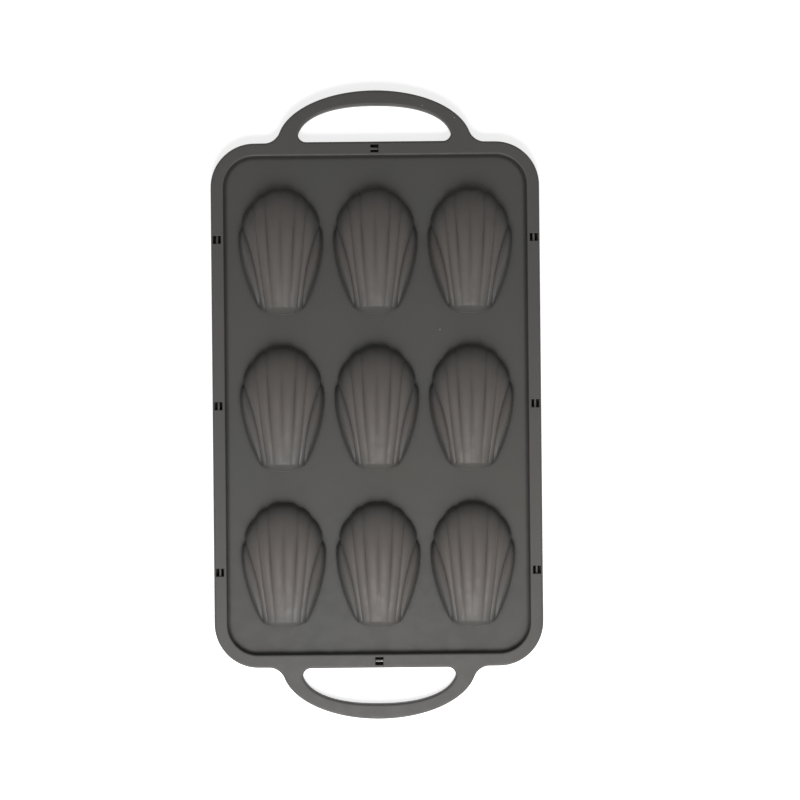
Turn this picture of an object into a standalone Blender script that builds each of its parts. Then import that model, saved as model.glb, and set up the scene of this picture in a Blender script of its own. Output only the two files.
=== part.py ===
"""Silicone madeleine mold: nine fluted cups in a sheet, held in a wire-stiffened rim with two grips.

Metres, +Z up. The mold lies upside down, as it is put away and washed: the filling side is below and
the undersides of the cups stand up. The rounded ends of the cups point to +Y. The origin is in the
middle of the footprint, on the flat filling face of the rim.
"""

from math import acos, atan2, cos, pi, radians, sin, sqrt

import bmesh
import bpy
from mathutils import Matrix, Vector

MM = 0.001

# Rim: a rounded rectangle round the sheet, with a wall on each side of the wire in it
RIM_CORNER_RADIUS = 24.5 * MM
RIM_OUTER_WALL = 1.6 * MM
RIM_INNER_WALL = 0.7 * MM
RIM_THICKNESS = 6.5 * MM
RIM_EDGE_ROUNDING = 1.8 * MM
RIM_CORNER_STEPS = 7

# Grips: one bow at each end of the rim, its sides a shoulder away from the rim's corners
GRIP_REACH = 29 * MM
GRIP_SHOULDER = 13 * MM
GRIP_BAND = 8.3 * MM
GRIP_SIDE_BAND = 10.8 * MM
GRIP_ROOT_FILLET = 9.4 * MM
GRIP_HOLE_CORNER_RADIUS = 4.5 * MM
GRIP_HOLE_LIFT = 0.5 * MM
GRIP_HOLE_POWER = 2.3
GRIP_STEPS = 24
GRIP_FILLET_STEPS = 5

# Steel wires inside the rim and the grips
WIRE_DIAMETER = 2.8 * MM
WIRE_CLEARANCE = 0.3 * MM
WIRE_RESOLUTION = 2
GRIP_WIRE_STEPS = 20

# Square windows in the rim that show the wire
WINDOW_SIDE = 4.4 * MM
WINDOW_SPACING = 92.6 * MM
WINDOWS_PER_SIDE = 3

# Sheet that carries the cups, held in a groove of the rim
SHEET_THICKNESS = 1.8 * MM
SHEET_DROP = 1.2 * MM
SHEET_TONGUE = 1.5 * MM
SHEET_CLEARANCE = 0.3 * MM

# Cups: a half ellipsoid on each side of the widest line, cut off short of its tip at the narrow end
CUP_HALF_WIDTH = 23.3 * MM
CUP_ROUND_LENGTH = 29 * MM
CUP_NARROW_LENGTH = 41 * MM
CUP_NARROW_CUT = 3.3 * MM
CUP_HEIGHT = 14.5 * MM
CUP_WALL = 1.5 * MM
CUP_END_RUN = 4.8 * MM
CUP_COLUMNS = 3
CUP_ROWS = 3

# Lands: the flat sheet between the cups, and between them and the rim
LAND_BESIDE_CUPS = 6 * MM
LAND_BETWEEN_ROWS = 17.5 * MM
LAND_TO_RIM_SIDES = 8.1 * MM
LAND_TO_FAR_END = 17.7 * MM
LAND_TO_NEAR_END = 14.3 * MM

# Flutes: valleys counted from the middle of the cup outwards, as shares of the cup's half width
VALLEY_NARROW_SHARES = (0.0, 0.22, 0.38, 0.515)
VALLEY_ROUND_SHARES = (0.0, 0.395, 0.717, 1.416)
VALLEY_BENDS = (1, 1, 1, 2)
VALLEY_DEPTH = 1.1 * MM
VALLEY_NARROW_DEPTH_SHARES = (0.0, 0.35, 0.6, 0.8)
VALLEY_ROUND_DEPTH_SHARES = (0.5, 0.5, 0.5, 1.2)
RIB_POWER = 2.2
STEPS_PER_RIB = 2
ROWS_TO_NARROW_END = 5
ROWS_TO_ROUND_END = 5

# One overrun for every cutter that has to pass through a face
OVERRUN = 2 * MM
WELD_DISTANCE = 0.001 * MM
BISECTION_STEPS = 40

SHEET_LOW = SHEET_DROP
SHEET_HIGH = SHEET_DROP + SHEET_THICKNESS
WIRE_RADIUS = WIRE_DIAMETER / 2
CHANNEL_RADIUS = WIRE_RADIUS + WIRE_CLEARANCE
WIRE_HEIGHT = RIM_THICKNESS / 2
WIRE_INSET = RIM_OUTER_WALL + CHANNEL_RADIUS
RIM_BAND = WIRE_INSET + CHANNEL_RADIUS + RIM_INNER_WALL + SHEET_CLEARANCE + SHEET_TONGUE
CUP_COLUMN_PITCH = 2 * CUP_HALF_WIDTH + LAND_BESIDE_CUPS
CUP_ROW_PITCH = CUP_NARROW_LENGTH + CUP_ROUND_LENGTH + LAND_BETWEEN_ROWS
HALF_DECK_WIDTH = CUP_COLUMNS * CUP_COLUMN_PITCH / 2 - LAND_BESIDE_CUPS / 2 + LAND_TO_RIM_SIDES
CUPS_LENGTH = CUP_ROWS * CUP_ROW_PITCH - LAND_BETWEEN_ROWS
HALF_DECK_LENGTH = (LAND_TO_NEAR_END + CUPS_LENGTH + LAND_TO_FAR_END) / 2
HALF_RIM_WIDTH = HALF_DECK_WIDTH + RIM_BAND
HALF_RIM_LENGTH = HALF_DECK_LENGTH + RIM_BAND
GRIP_HALF_SPAN = HALF_RIM_WIDTH - RIM_CORNER_RADIUS - GRIP_SHOULDER
GRIP_HOLE_HALF_SPAN = GRIP_HALF_SPAN - GRIP_SIDE_BAND
HALF_FACET = pi / (4 + 2 * WIRE_RESOLUTION)
OUTERMOST_VALLEY = len(VALLEY_NARROW_SHARES) - 1


def clear_scene():
    for obj in list(bpy.data.objects):
        bpy.data.objects.remove(obj, do_unlink=True)


def new_collection(name):
    collection = bpy.data.collections.new(name)
    bpy.context.scene.collection.children.link(collection)
    return collection


def make_material(name, colour, roughness, metallic=0.0):
    material = bpy.data.materials.new(name)
    material.use_nodes = True
    shader = material.node_tree.nodes["Principled BSDF"]
    shader.inputs["Base Color"].default_value = (*colour, 1.0)
    shader.inputs["Roughness"].default_value = roughness
    shader.inputs["Metallic"].default_value = metallic
    return material


def bisect(difference, low, high):
    """The place between low, where difference is negative, and high, where it is positive."""
    for _ in range(BISECTION_STEPS):
        middle = (low + high) / 2
        if difference(middle) < 0:
            low = middle
        else:
            high = middle
    return (low + high) / 2


# Flat outlines


def arc(centre, radius, start, end, steps):
    """Points along an arc, both ends included, with angles in radians."""
    angles = [start + (end - start) * step / steps for step in range(steps + 1)]
    return [centre + Vector((radius * cos(angle), radius * sin(angle))) for angle in angles]


def turned_half_way(points):
    return [-point for point in points]


def rounded_rectangle(half_width, half_length, radius):
    centre = Vector((half_width - radius, half_length - radius))
    right = arc(centre, radius, 0, pi / 2, RIM_CORNER_STEPS)
    left = arc(Vector((-centre.x, centre.y)), radius, pi / 2, pi, RIM_CORNER_STEPS)
    return right + left + turned_half_way(right + left)


def inset_rectangle(inset):
    """The rim's outer rectangle, drawn in by the same distance all round."""
    return rounded_rectangle(HALF_RIM_WIDTH - inset, HALF_RIM_LENGTH - inset, RIM_CORNER_RADIUS - inset)


def grip_outer_edge():
    """The outer edge of a grip from its right root to its left one, above the rim's end line.

    The roots' own points on that line are left out, so that the rim's end has no row of points in line.
    """

    def normal_angle(turn):
        return atan2(sin(turn) * GRIP_HALF_SPAN, cos(turn) * GRIP_REACH)

    def fillet_centre(turn):
        angle = normal_angle(turn)
        on_bow = Vector((GRIP_HALF_SPAN * cos(turn), GRIP_REACH * sin(turn)))
        return on_bow + GRIP_ROOT_FILLET * Vector((cos(angle), sin(angle)))

    touch = bisect(lambda turn: fillet_centre(turn).y - GRIP_ROOT_FILLET, 0, pi / 2)
    touch_angle = pi + normal_angle(touch)
    fillet = arc(fillet_centre(touch), GRIP_ROOT_FILLET, 3 * pi / 2, touch_angle, GRIP_FILLET_STEPS)[1:]
    turns = [touch + (pi - 2 * touch) * step / GRIP_STEPS for step in range(1, GRIP_STEPS)]
    bow = [Vector((GRIP_HALF_SPAN * cos(turn), GRIP_REACH * sin(turn))) for turn in turns]
    mirrored_fillet = [Vector((-point.x, point.y)) for point in reversed(fillet)]
    return fillet + bow + mirrored_fillet


def grip_hole():
    """The hand hole of a grip: a squarish bow on a flat side with rounded corners."""
    height = GRIP_REACH - GRIP_BAND - GRIP_HOLE_LIFT

    def bow_x(y):
        return GRIP_HOLE_HALF_SPAN * (1 - (y / height) ** GRIP_HOLE_POWER) ** (1 / GRIP_HOLE_POWER)

    corner_x = bow_x(GRIP_HOLE_CORNER_RADIUS) - GRIP_HOLE_CORNER_RADIUS
    corner = Vector((corner_x, GRIP_HOLE_CORNER_RADIUS))
    right_corner = arc(corner, GRIP_HOLE_CORNER_RADIUS, -pi / 2, 0, GRIP_FILLET_STEPS)
    start = acos(bow_x(GRIP_HOLE_CORNER_RADIUS) / GRIP_HOLE_HALF_SPAN)
    bow = []
    for step in range(1, GRIP_STEPS):
        turn = start + (pi - 2 * start) * step / GRIP_STEPS
        across = abs(cos(turn)) ** (2 / GRIP_HOLE_POWER)
        side = 1 if cos(turn) > 0 else -1
        up = sin(turn) ** (2 / GRIP_HOLE_POWER)
        bow.append(Vector((side * GRIP_HOLE_HALF_SPAN * across, height * up)))
    left_corner = [Vector((-point.x, point.y)) for point in reversed(right_corner)]
    lift = Vector((0, GRIP_HOLE_LIFT))
    return [point + lift for point in right_corner + bow + left_corner]


def at_rim_end(points):
    return [point + Vector((0, HALF_RIM_LENGTH)) for point in points]


def rim_outer_edge():
    corner = Vector((HALF_RIM_WIDTH - RIM_CORNER_RADIUS, HALF_RIM_LENGTH - RIM_CORNER_RADIUS))
    right = arc(corner, RIM_CORNER_RADIUS, 0, pi / 2, RIM_CORNER_STEPS)
    left = arc(Vector((-corner.x, corner.y)), RIM_CORNER_RADIUS, pi / 2, pi, RIM_CORNER_STEPS)
    far_half = right + at_rim_end(grip_outer_edge()) + left
    return far_half + turned_half_way(far_half)


# Solids from curves


def face_outwards(shape):
    bmesh.ops.recalc_face_normals(shape, faces=shape.faces)
    if shape.calc_volume(signed=True) < 0:
        bmesh.ops.reverse_faces(shape, faces=shape.faces)


def mesh_from_curve(curve, name, collection):
    """A mesh object with the evaluated shape of a curve, its caps welded on."""
    holder = bpy.data.objects.new(name + "_curve", curve)
    collection.objects.link(holder)
    graph = bpy.context.evaluated_depsgraph_get()
    mesh = bpy.data.meshes.new_from_object(holder.evaluated_get(graph))
    bpy.data.objects.remove(holder, do_unlink=True)
    shape = bmesh.new()
    shape.from_mesh(mesh)
    bmesh.ops.remove_doubles(shape, verts=shape.verts, dist=WELD_DISTANCE)
    face_outwards(shape)
    shape.to_mesh(mesh)
    shape.free()
    mesh.name = name
    obj = bpy.data.objects.new(name, mesh)
    collection.objects.link(obj)
    return obj


def add_closed_spline(curve, points):
    spline = curve.splines.new("POLY")
    spline.points.add(len(points) - 1)
    for spline_point, point in zip(spline.points, points):
        spline_point.co = (*point.to_3d(), 1.0)
    spline.use_cyclic_u = True
    return spline


def plate(name, collection, outlines, low, high, rounding=0.0):
    """A flat plate between two heights. The first outline is its edge, and the others are holes."""
    curve = bpy.data.curves.new(name, "CURVE")
    curve.dimensions = "2D"
    curve.fill_mode = "BOTH"
    curve.extrude = (high - low) / 2 - rounding
    curve.bevel_depth = rounding
    curve.bevel_resolution = 1
    curve.offset = -rounding
    add_closed_spline(curve, outlines[0])
    for hole in outlines[1:]:
        add_closed_spline(curve, hole[::-1])
    obj = mesh_from_curve(curve, name, collection)
    obj.data.transform(Matrix.Translation((0, 0, (low + high) / 2)))
    return obj


def rod(name, collection, points, radius, closed, tilt=0.0):
    """A round rod along points, at the height of the wires, its facets turned by the tilt."""
    curve = bpy.data.curves.new(name, "CURVE")
    curve.dimensions = "3D"
    curve.twist_mode = "Z_UP"
    curve.bevel_depth = radius
    curve.bevel_resolution = WIRE_RESOLUTION
    curve.use_fill_caps = True
    spline = add_closed_spline(curve, points)
    spline.use_cyclic_u = closed
    for spline_point in spline.points:
        spline_point.tilt = tilt
    obj = mesh_from_curve(curve, name, collection)
    obj.data.transform(Matrix.Translation((0, 0, WIRE_HEIGHT)))
    return obj


def block(name, collection, centre, size):
    shape = bmesh.new()
    bmesh.ops.create_cube(shape, size=1)
    bmesh.ops.scale(shape, verts=shape.verts, vec=size)
    bmesh.ops.translate(shape, verts=shape.verts, vec=centre)
    mesh = bpy.data.meshes.new(name)
    shape.to_mesh(mesh)
    shape.free()
    obj = bpy.data.objects.new(name, mesh)
    collection.objects.link(obj)
    return obj


def as_cutter(obj):
    obj.hide_render = True
    obj.display_type = "WIRE"
    return obj


def combine(target, other, operation):
    modifier = target.modifiers.new(other.name, "BOOLEAN")
    modifier.operation = operation
    modifier.solver = "EXACT"
    modifier.object = as_cutter(other)


def finish_part(obj, material, sharp_angle=radians(35)):
    obj.data.materials.clear()
    obj.data.materials.append(material)
    obj.data.shade_smooth()
    obj.data.set_sharp_from_angle(angle=sharp_angle)


# Cups


def station(y):
    """0 at the narrow end of a cup, 1 at its rounded end."""
    return (y + CUP_NARROW_LENGTH) / (CUP_NARROW_LENGTH + CUP_ROUND_LENGTH)


def valley_depth(valley, y):
    """How far a valley lies under the ribs: its named share at each end, all of it half way."""
    share = station(y)
    narrow = VALLEY_NARROW_DEPTH_SHARES[valley] * (1 - share) * (1 - 2 * share)
    middle = 4 * share * (1 - share)
    rounded = VALLEY_ROUND_DEPTH_SHARES[valley] * share * (2 * share - 1)
    return VALLEY_DEPTH * (narrow + middle + rounded)


class CupSkin:
    """One skin of a cup: the outer one, or the inner one drawn in by the wall.

    A column runs along the cup at a place counted from its middle: whole numbers are the valleys, and
    the last whole number is the side edge. Negative places are on the other side.
    """

    def __init__(self, inset, height):
        self.half_width = CUP_HALF_WIDTH - inset
        self.round_length = CUP_ROUND_LENGTH - inset
        self.narrow_length = CUP_NARROW_LENGTH - inset
        self.narrow_taper = CUP_NARROW_LENGTH + CUP_NARROW_CUT - inset
        self.height = height
        self.corner_y = bisect(
            lambda y: self.edge_x(y) - self.valley_x(OUTERMOST_VALLEY, y), -self.narrow_length, 0
        )

    def reach(self, y):
        return self.round_length if y > 0 else self.narrow_taper

    def edge_x(self, y):
        return self.half_width * sqrt(max(0.0, 1 - (y / self.reach(y)) ** 2))

    def valley_x(self, valley, y):
        narrow = VALLEY_NARROW_SHARES[valley]
        rounded = VALLEY_ROUND_SHARES[valley]
        return self.half_width * (narrow + (rounded - narrow) * station(y) ** VALLEY_BENDS[valley])

    def column_x(self, place, y):
        if place >= OUTERMOST_VALLEY:
            inner = self.valley_x(OUTERMOST_VALLEY, y)
            across = 1 - (OUTERMOST_VALLEY + 1 - place) ** 2
            return inner + across * (self.edge_x(y) - inner)
        valley = int(place)
        inner = self.valley_x(valley, y)
        return inner + (place - valley) * (self.valley_x(valley + 1, y) - inner)

    def inset_at(self, place, y):
        """How far the skin lies under the smooth ellipsoid there."""
        if place >= OUTERMOST_VALLEY:
            return valley_depth(OUTERMOST_VALLEY, y) * (OUTERMOST_VALLEY + 1 - place) ** RIB_POWER
        valley = int(place)
        across = place - valley
        here = valley_depth(valley, y)
        depth = here + across * (valley_depth(valley + 1, y) - here)
        return depth * abs(2 * across - 1) ** RIB_POWER

    def round_end_y(self, place):
        return bisect(lambda y: self.column_x(place, y) - self.edge_x(y), 0, self.round_length)

    def narrow_end_y(self, place, run):
        """The narrow end's edge: its foot at a run of 0, its top at the run of its slope."""
        top = self.valley_x(OUTERMOST_VALLEY, self.corner_y)
        across = (self.column_x(place, self.corner_y) / top) ** 2
        foot = across * self.corner_y - (1 - across) * self.narrow_length
        return foot + (1 - across) * run

    def point(self, place, y):
        x = self.column_x(place, y)
        z = self.height * sqrt(max(0.0, 1 - (x / self.half_width) ** 2 - (y / self.reach(y)) ** 2))
        outward = Vector((x / self.half_width**2, y / self.reach(y) ** 2, z / self.height**2))
        return Vector((x, y, z)) - self.inset_at(place, y) * outward.normalized()

    def column(self, place):
        """Points of one column from the narrow end to the rounded one, the first at the foot."""
        side = -1 if place < 0 else 1
        place = abs(place)
        on_body = min(place, OUTERMOST_VALLEY)
        narrow = self.narrow_end_y(on_body, CUP_END_RUN)
        rounded = self.round_end_y(on_body)
        rows = [narrow * (1 - row / ROWS_TO_NARROW_END) for row in range(ROWS_TO_NARROW_END)]
        rows += [rounded * sin(pi / 2 * row / ROWS_TO_ROUND_END) for row in range(ROWS_TO_ROUND_END + 1)]
        points = [self.point(place, y) for y in rows]
        points[-1].z = 0.0
        foot = points[0].copy()
        foot.y = self.narrow_end_y(on_body, 0)
        foot.z = 0.0
        if on_body == OUTERMOST_VALLEY:
            points[0] = foot.copy()
        return [Vector((side * point.x, point.y, point.z)) for point in [foot, *points]]


def cup_solid(name, collection, inset, low, high):
    """A closed solid under one skin of each cup, from a flat base to the crown."""
    skin = CupSkin(inset, high - low)
    steps = STEPS_PER_RIB * (OUTERMOST_VALLEY + 1)
    columns = [skin.column(step / STEPS_PER_RIB) for step in range(-steps, steps + 1)]
    shape = bmesh.new()
    grid = [[shape.verts.new(point + Vector((0, 0, low))) for point in column] for column in columns]
    for left, right in zip(grid, grid[1:]):
        for row in range(len(left) - 1):
            shape.faces.new((left[row], right[row], right[row + 1], left[row + 1]))
    bmesh.ops.remove_doubles(shape, verts=shape.verts, dist=WELD_DISTANCE)
    bmesh.ops.holes_fill(shape, edges=[edge for edge in shape.edges if edge.is_boundary], sides=0)
    bmesh.ops.triangulate(shape, faces=shape.faces)
    face_outwards(shape)
    mesh = bpy.data.meshes.new(name)
    shape.to_mesh(mesh)
    shape.free()
    obj = bpy.data.objects.new(name, mesh)
    collection.objects.link(obj)
    first_x = -CUP_COLUMN_PITCH * (CUP_COLUMNS - 1) / 2
    first_y = -HALF_DECK_LENGTH + LAND_TO_NEAR_END + CUP_NARROW_LENGTH
    obj.location = (first_x, first_y, 0)
    repeat(obj, CUP_COLUMNS, (CUP_COLUMN_PITCH, 0, 0))
    repeat(obj, CUP_ROWS, (0, CUP_ROW_PITCH, 0))
    return obj


def repeat(obj, count, step):
    modifier = obj.modifiers.new("repeat", "ARRAY")
    modifier.count = count
    modifier.use_relative_offset = False
    modifier.use_constant_offset = True
    modifier.constant_offset_displace = step
    modifier.use_merge_vertices = False


# Parts


def make_cup_tray(parts, cutters, silicone):
    outline = inset_rectangle(RIM_BAND - SHEET_TONGUE)
    tray = plate("cup_tray", parts, [outline], SHEET_LOW, SHEET_HIGH)
    sheet_middle = (SHEET_LOW + SHEET_HIGH) / 2
    crown = SHEET_HIGH + CUP_HEIGHT
    bodies = cup_solid("cup_bodies", cutters, 0, sheet_middle, crown)
    cavities = cup_solid("cup_cavities", cutters, CUP_WALL, SHEET_LOW - OVERRUN, crown - CUP_WALL)
    combine(tray, bodies, "UNION")
    combine(tray, cavities, "DIFFERENCE")
    finish_part(tray, silicone)


def grip_wire_path(foot_y):
    """The middle line of a grip from foot to foot, in the far grip's place."""
    half_span = (GRIP_HALF_SPAN + GRIP_HOLE_HALF_SPAN) / 2
    reach = GRIP_REACH - GRIP_BAND / 2
    turns = [pi * step / GRIP_WIRE_STEPS for step in range(GRIP_WIRE_STEPS + 1)]
    bow = [Vector((half_span * cos(turn), HALF_RIM_LENGTH + reach * sin(turn))) for turn in turns]
    return [Vector((half_span, foot_y)), *bow, Vector((-half_span, foot_y))]


def window_places():
    side_x = HALF_RIM_WIDTH - WIRE_INSET
    end_y = HALF_RIM_LENGTH - WIRE_INSET
    middle = (WINDOWS_PER_SIDE - 1) / 2
    places = [(0, end_y), (0, -end_y)]
    for index in range(WINDOWS_PER_SIDE):
        y = WINDOW_SPACING * (index - middle)
        places += [(side_x, y), (-side_x, y)]
    return places


def cut_groove(rim, cutters):
    outline = inset_rectangle(RIM_BAND - SHEET_TONGUE - SHEET_CLEARANCE)
    low = SHEET_LOW - SHEET_CLEARANCE
    high = SHEET_HIGH + SHEET_CLEARANCE
    combine(rim, plate("groove_cutter", cutters, [outline], low, high), "DIFFERENCE")


def cut_wire_channels(rim, cutters):
    ring_path = inset_rectangle(WIRE_INSET)
    ring = rod("ring_channel_cutter", cutters, ring_path, CHANNEL_RADIUS, True)
    combine(rim, ring, "DIFFERENCE")
    far_path = grip_wire_path(HALF_RIM_LENGTH - WIRE_INSET)
    near_path = turned_half_way(far_path)
    for name, path in (("far_channel_cutter", far_path), ("near_channel_cutter", near_path)):
        channel = rod(name, cutters, path, CHANNEL_RADIUS, False, HALF_FACET)
        combine(rim, channel, "DIFFERENCE")


def cut_windows(rim, cutters):
    low = WIRE_HEIGHT - CHANNEL_RADIUS
    high = RIM_THICKNESS + OVERRUN
    for index, (x, y) in enumerate(window_places()):
        centre = (x, y, (low + high) / 2)
        size = (WINDOW_SIDE, WINDOW_SIDE, high - low)
        combine(rim, block(f"window_cutter_{index + 1}", cutters, centre, size), "DIFFERENCE")


def make_rim(parts, cutters, silicone):
    far_hole = at_rim_end(grip_hole())
    near_hole = turned_half_way(far_hole)
    outlines = [rim_outer_edge(), inset_rectangle(RIM_BAND), far_hole, near_hole]
    rim = plate("rim_with_grips", parts, outlines, 0, RIM_THICKNESS, RIM_EDGE_ROUNDING)
    cut_groove(rim, cutters)
    cut_wire_channels(rim, cutters)
    cut_windows(rim, cutters)
    finish_part(rim, silicone)


def make_wires(parts, steel):
    ring = rod("rim_wire", parts, inset_rectangle(WIRE_INSET), WIRE_RADIUS, True)
    finish_part(ring, steel)
    foot_y = HALF_RIM_LENGTH - WIRE_INSET + WIRE_RADIUS + WIRE_CLEARANCE
    far_path = grip_wire_path(foot_y)
    for name, path in (("grip_wire_far", far_path), ("grip_wire_near", turned_half_way(far_path))):
        finish_part(rod(name, parts, path, WIRE_RADIUS, False, HALF_FACET), steel)


def main():
    clear_scene()
    parts = new_collection("silicone_madeleine_mold")
    cutters = new_collection("cutters")
    tray_silicone = make_material("tray_silicone", (0.085, 0.080, 0.077), 0.62)
    rim_silicone = make_material("rim_silicone", (0.100, 0.096, 0.093), 0.58)
    steel = make_material("wire_steel", (0.62, 0.61, 0.60), 0.35, 1.0)
    make_cup_tray(parts, cutters, tray_silicone)
    make_rim(parts, cutters, rim_silicone)
    make_wires(parts, steel)


main()
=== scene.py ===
"""Looks of the silicone madeleine mold: fine silicone pieces, steel wires, studio and camera.

The mold lies upside down, as in the photograph, so the cups stand up towards the camera. Metres, +Z up.
The shapes follow the same sizes as the solids, with more steps, soft edges and rounded cup mouths.
"""

from math import acos, atan2, cos, hypot, pi, radians, sin, sqrt

import bmesh
import bpy
from mathutils import Matrix, Vector
from mathutils.geometry import delaunay_2d_cdt
from mathutils.kdtree import KDTree


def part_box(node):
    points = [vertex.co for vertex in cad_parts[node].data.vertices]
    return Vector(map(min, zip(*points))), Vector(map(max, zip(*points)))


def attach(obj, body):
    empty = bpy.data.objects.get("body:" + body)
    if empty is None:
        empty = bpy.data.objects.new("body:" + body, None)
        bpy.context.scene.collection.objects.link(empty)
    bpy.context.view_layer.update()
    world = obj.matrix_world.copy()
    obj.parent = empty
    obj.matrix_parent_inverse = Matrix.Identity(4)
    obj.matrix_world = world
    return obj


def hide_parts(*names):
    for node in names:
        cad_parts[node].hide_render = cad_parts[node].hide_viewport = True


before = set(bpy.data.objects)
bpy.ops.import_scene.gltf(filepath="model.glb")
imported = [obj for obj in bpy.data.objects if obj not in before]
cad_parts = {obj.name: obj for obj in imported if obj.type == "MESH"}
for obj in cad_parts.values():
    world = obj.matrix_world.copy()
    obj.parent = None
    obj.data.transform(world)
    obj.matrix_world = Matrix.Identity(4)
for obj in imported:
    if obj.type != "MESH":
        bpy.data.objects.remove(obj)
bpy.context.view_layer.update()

MM = 0.001

# Sizes read from the parts in model.glb
RIM_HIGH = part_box("rim_with_grips")[1]
TRAY_LOW, TRAY_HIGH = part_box("cup_tray")
WIRE_LOW, WIRE_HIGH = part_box("rim_wire")

# Rim and sheet
RIM_CORNER_RADIUS = 24.5 * MM
RIM_BAND = 7.5 * MM
RIM_EDGE_ROUNDING = 1.3 * MM
RIM_CORNER_STEPS = 20
RIM_ROUNDING_STEPS = 4
SHEET_THICKNESS = 1.8 * MM
SHEET_CLEARANCE = 0.3 * MM

# Grips
GRIP_REACH = 29 * MM
GRIP_BAND = 8.3 * MM
GRIP_SHOULDER = 13 * MM
GRIP_SIDE_BAND = 10.8 * MM
GRIP_ROOT_FILLET = 9.4 * MM
GRIP_HOLE_CORNER_RADIUS = 4.5 * MM
GRIP_HOLE_LIFT = 0.5 * MM
GRIP_HOLE_POWER = 2.3
GRIP_STEPS = 72
GRIP_FILLET_STEPS = 12

# Wires and the windows that show them
WIRE_CLEARANCE = 0.3 * MM
WIRE_ROUND_STEPS = 4
GRIP_WIRE_STEPS = 48
WINDOW_SIDE = 4.4 * MM
WINDOW_CHAMFER = 0.25 * MM
WINDOW_FLOOR_LIFT = 0.2 * MM
WINDOW_SPACING = 92.6 * MM
WINDOWS_PER_SIDE = 3
OVERRUN = 2 * MM

# Cups
CUP_HALF_WIDTH = 23.3 * MM
CUP_ROUND_LENGTH = 29 * MM
CUP_NARROW_LENGTH = 41 * MM
CUP_NARROW_CUT = 6.5 * MM
NARROW_STRAIGHTNESS = 1.5
CUP_HEIGHT = 14.5 * MM
CUP_WALL = 1.5 * MM
CUP_END_RUN = 3.7 * MM
CUP_CAVITY_OVERRUN = 2 * MM
CUP_COLUMN_PITCH = 52.6 * MM
CUP_ROW_PITCH = 87.5 * MM
CUP_PATTERN_SHIFT = 4.3 * MM

# Flutes: valleys counted from the middle of the cup outwards, as shares of the cup's half width
VALLEY_NARROW_SHARES = (0.0, 0.22, 0.38, 0.525)
VALLEY_ROUND_SHARES = (0.0, 0.395, 0.717, 1.416)
VALLEY_BENDS = (1, 1, 1, 2)
VALLEY_DEPTH = 1.3 * MM
VALLEY_NARROW_DEPTH_SHARES = (0.1, 0.2, 0.3, 0.35)
VALLEY_MIDDLE_DEPTH_SHARES = (0.85, 1.0, 0.75, 0.9)
DEEPEST_STATION = 0.62
VALLEY_ROUND_DEPTH_SHARES = (0.3, 0.5, 0.5, 1.6)
VALLEY_SOFTNESS_SHARE = 0.04
RIB_POWER = 3.6
LOBE_BULGE_SHARE = 0.6
LOBE_CREST_POWER = 0.4
OUTERMOST_VALLEY = len(VALLEY_NARROW_SHARES) - 1

# Soft edges of the moulding
FOOT_FILLET = 0.25 * MM
MOUTH_ROUNDING = 0.7 * MM
END_EDGE_ROUNDING = 0.9 * MM
FLAT_MARGIN = 0.6 * MM
FLAT_GRID = 4 * MM
FLAT_GRID_CLEARANCE = 1.2 * MM
ROUNDING_STEPS = 5

# Painted shade on the line where the cups meet the sheet, marked on the mesh
FOOT_MARK = "near_foot"
FOOT_SHADE_UP = 2.6 * MM
FOOT_SHADE_OUT = 0.8 * MM

# Finishes, all colours linear
TRAY_TONES = {
    "tone": (0.063, 0.063, 0.060),
    "warm_tone": (0.069, 0.064, 0.059),
    "dust_and_edge_sheen_tone": (0.13, 0.12, 0.11),
    "crown_light_tone": (0.104, 0.093, 0.087),
}
# The same silicone as the tray, painted paler: painted light on the raised rim, which stands above the
# recessed sheet
RIM_LIT_TONES = {
    "tone": (0.077, 0.075, 0.072),
    "warm_tone": (0.082, 0.077, 0.072),
    "dust_and_edge_sheen_tone": (0.13, 0.12, 0.11),
    "crown_light_tone": (0.089, 0.082, 0.077),
}
# Painted shade: the dark colour mixed into corners, creases, the cups' feet and the rim's seam
PAINTED_SHADE_TONE = (0.016, 0.015, 0.014)
MOTTLE_TONE = (0.62, 0.62, 0.62)
SPECK_TONE = (0.42, 0.40, 0.37)
# Steel painted far darker than bare steel: painted shade for the wire deep in its windows
SHADED_STEEL_TONE = (0.11, 0.108, 0.105)
SHADED_DULL_STEEL_TONE = (0.07, 0.068, 0.065)
CLOUD_SIZE = 60 * MM
MOTTLE_SIZE = 7 * MM
GRAIN_SIZE = 0.5 * MM
WAVE_SIZE = 25 * MM
SPECK_SPACING = 9 * MM
# Painted light: the silicone turns paler from this height up to the crowns, for the light the crowns
# catch
CROWN_LIGHT_LOW = 7 * MM
CROWN_LIGHT_HIGH = 16 * MM
# How far the painted shade in creases looks for nearby surfaces
CREASE_REACH = 5 * MM
# Painted shade along the rim's inner edge and on the sheet beside it
SEAM_SHADE = 0.95
SEAM_RIM_SIDE = (0.9 * MM, 0.3 * MM)
SEAM_SHEET_SIDE = (0.3 * MM, 2.2 * MM)
SILICONE_IOR = 1.41

# Studio
FLOOR_HALF_SIDE = 4.0
FLOOR_GAP = 0.1 * MM
FLOOR_TONE = (0.88, 0.88, 0.88, 1.0)
FLOOR_LIFT = 0.75
AMBIENT = 0.15
KEY_PLACE = (0.0, -0.38, 0.46)
KEY_SIDE = 0.3
KEY_POWER = 2.05
SOFTBOX_PLACE = (0.0, -0.74, 0.52)
SOFTBOX_SIDE = 0.7
SOFTBOX_POWER = 4.0

# Camera
SENSOR_WIDTH = 36.0
CAMERA_DISTANCE = 1.2
CAMERA_REACH = 20.0
FRAME_SIDE = 0.4474
PICTURE_SIDE = 800
MOLD_PIXEL_X = 376.9
MOLD_PIXEL_Y = 404.6
CAMERA_ROLL = radians(-0.55)

WELD_DISTANCE = 0.001 * MM
BISECTION_STEPS = 40
SHARP_ANGLE = radians(35)

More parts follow.
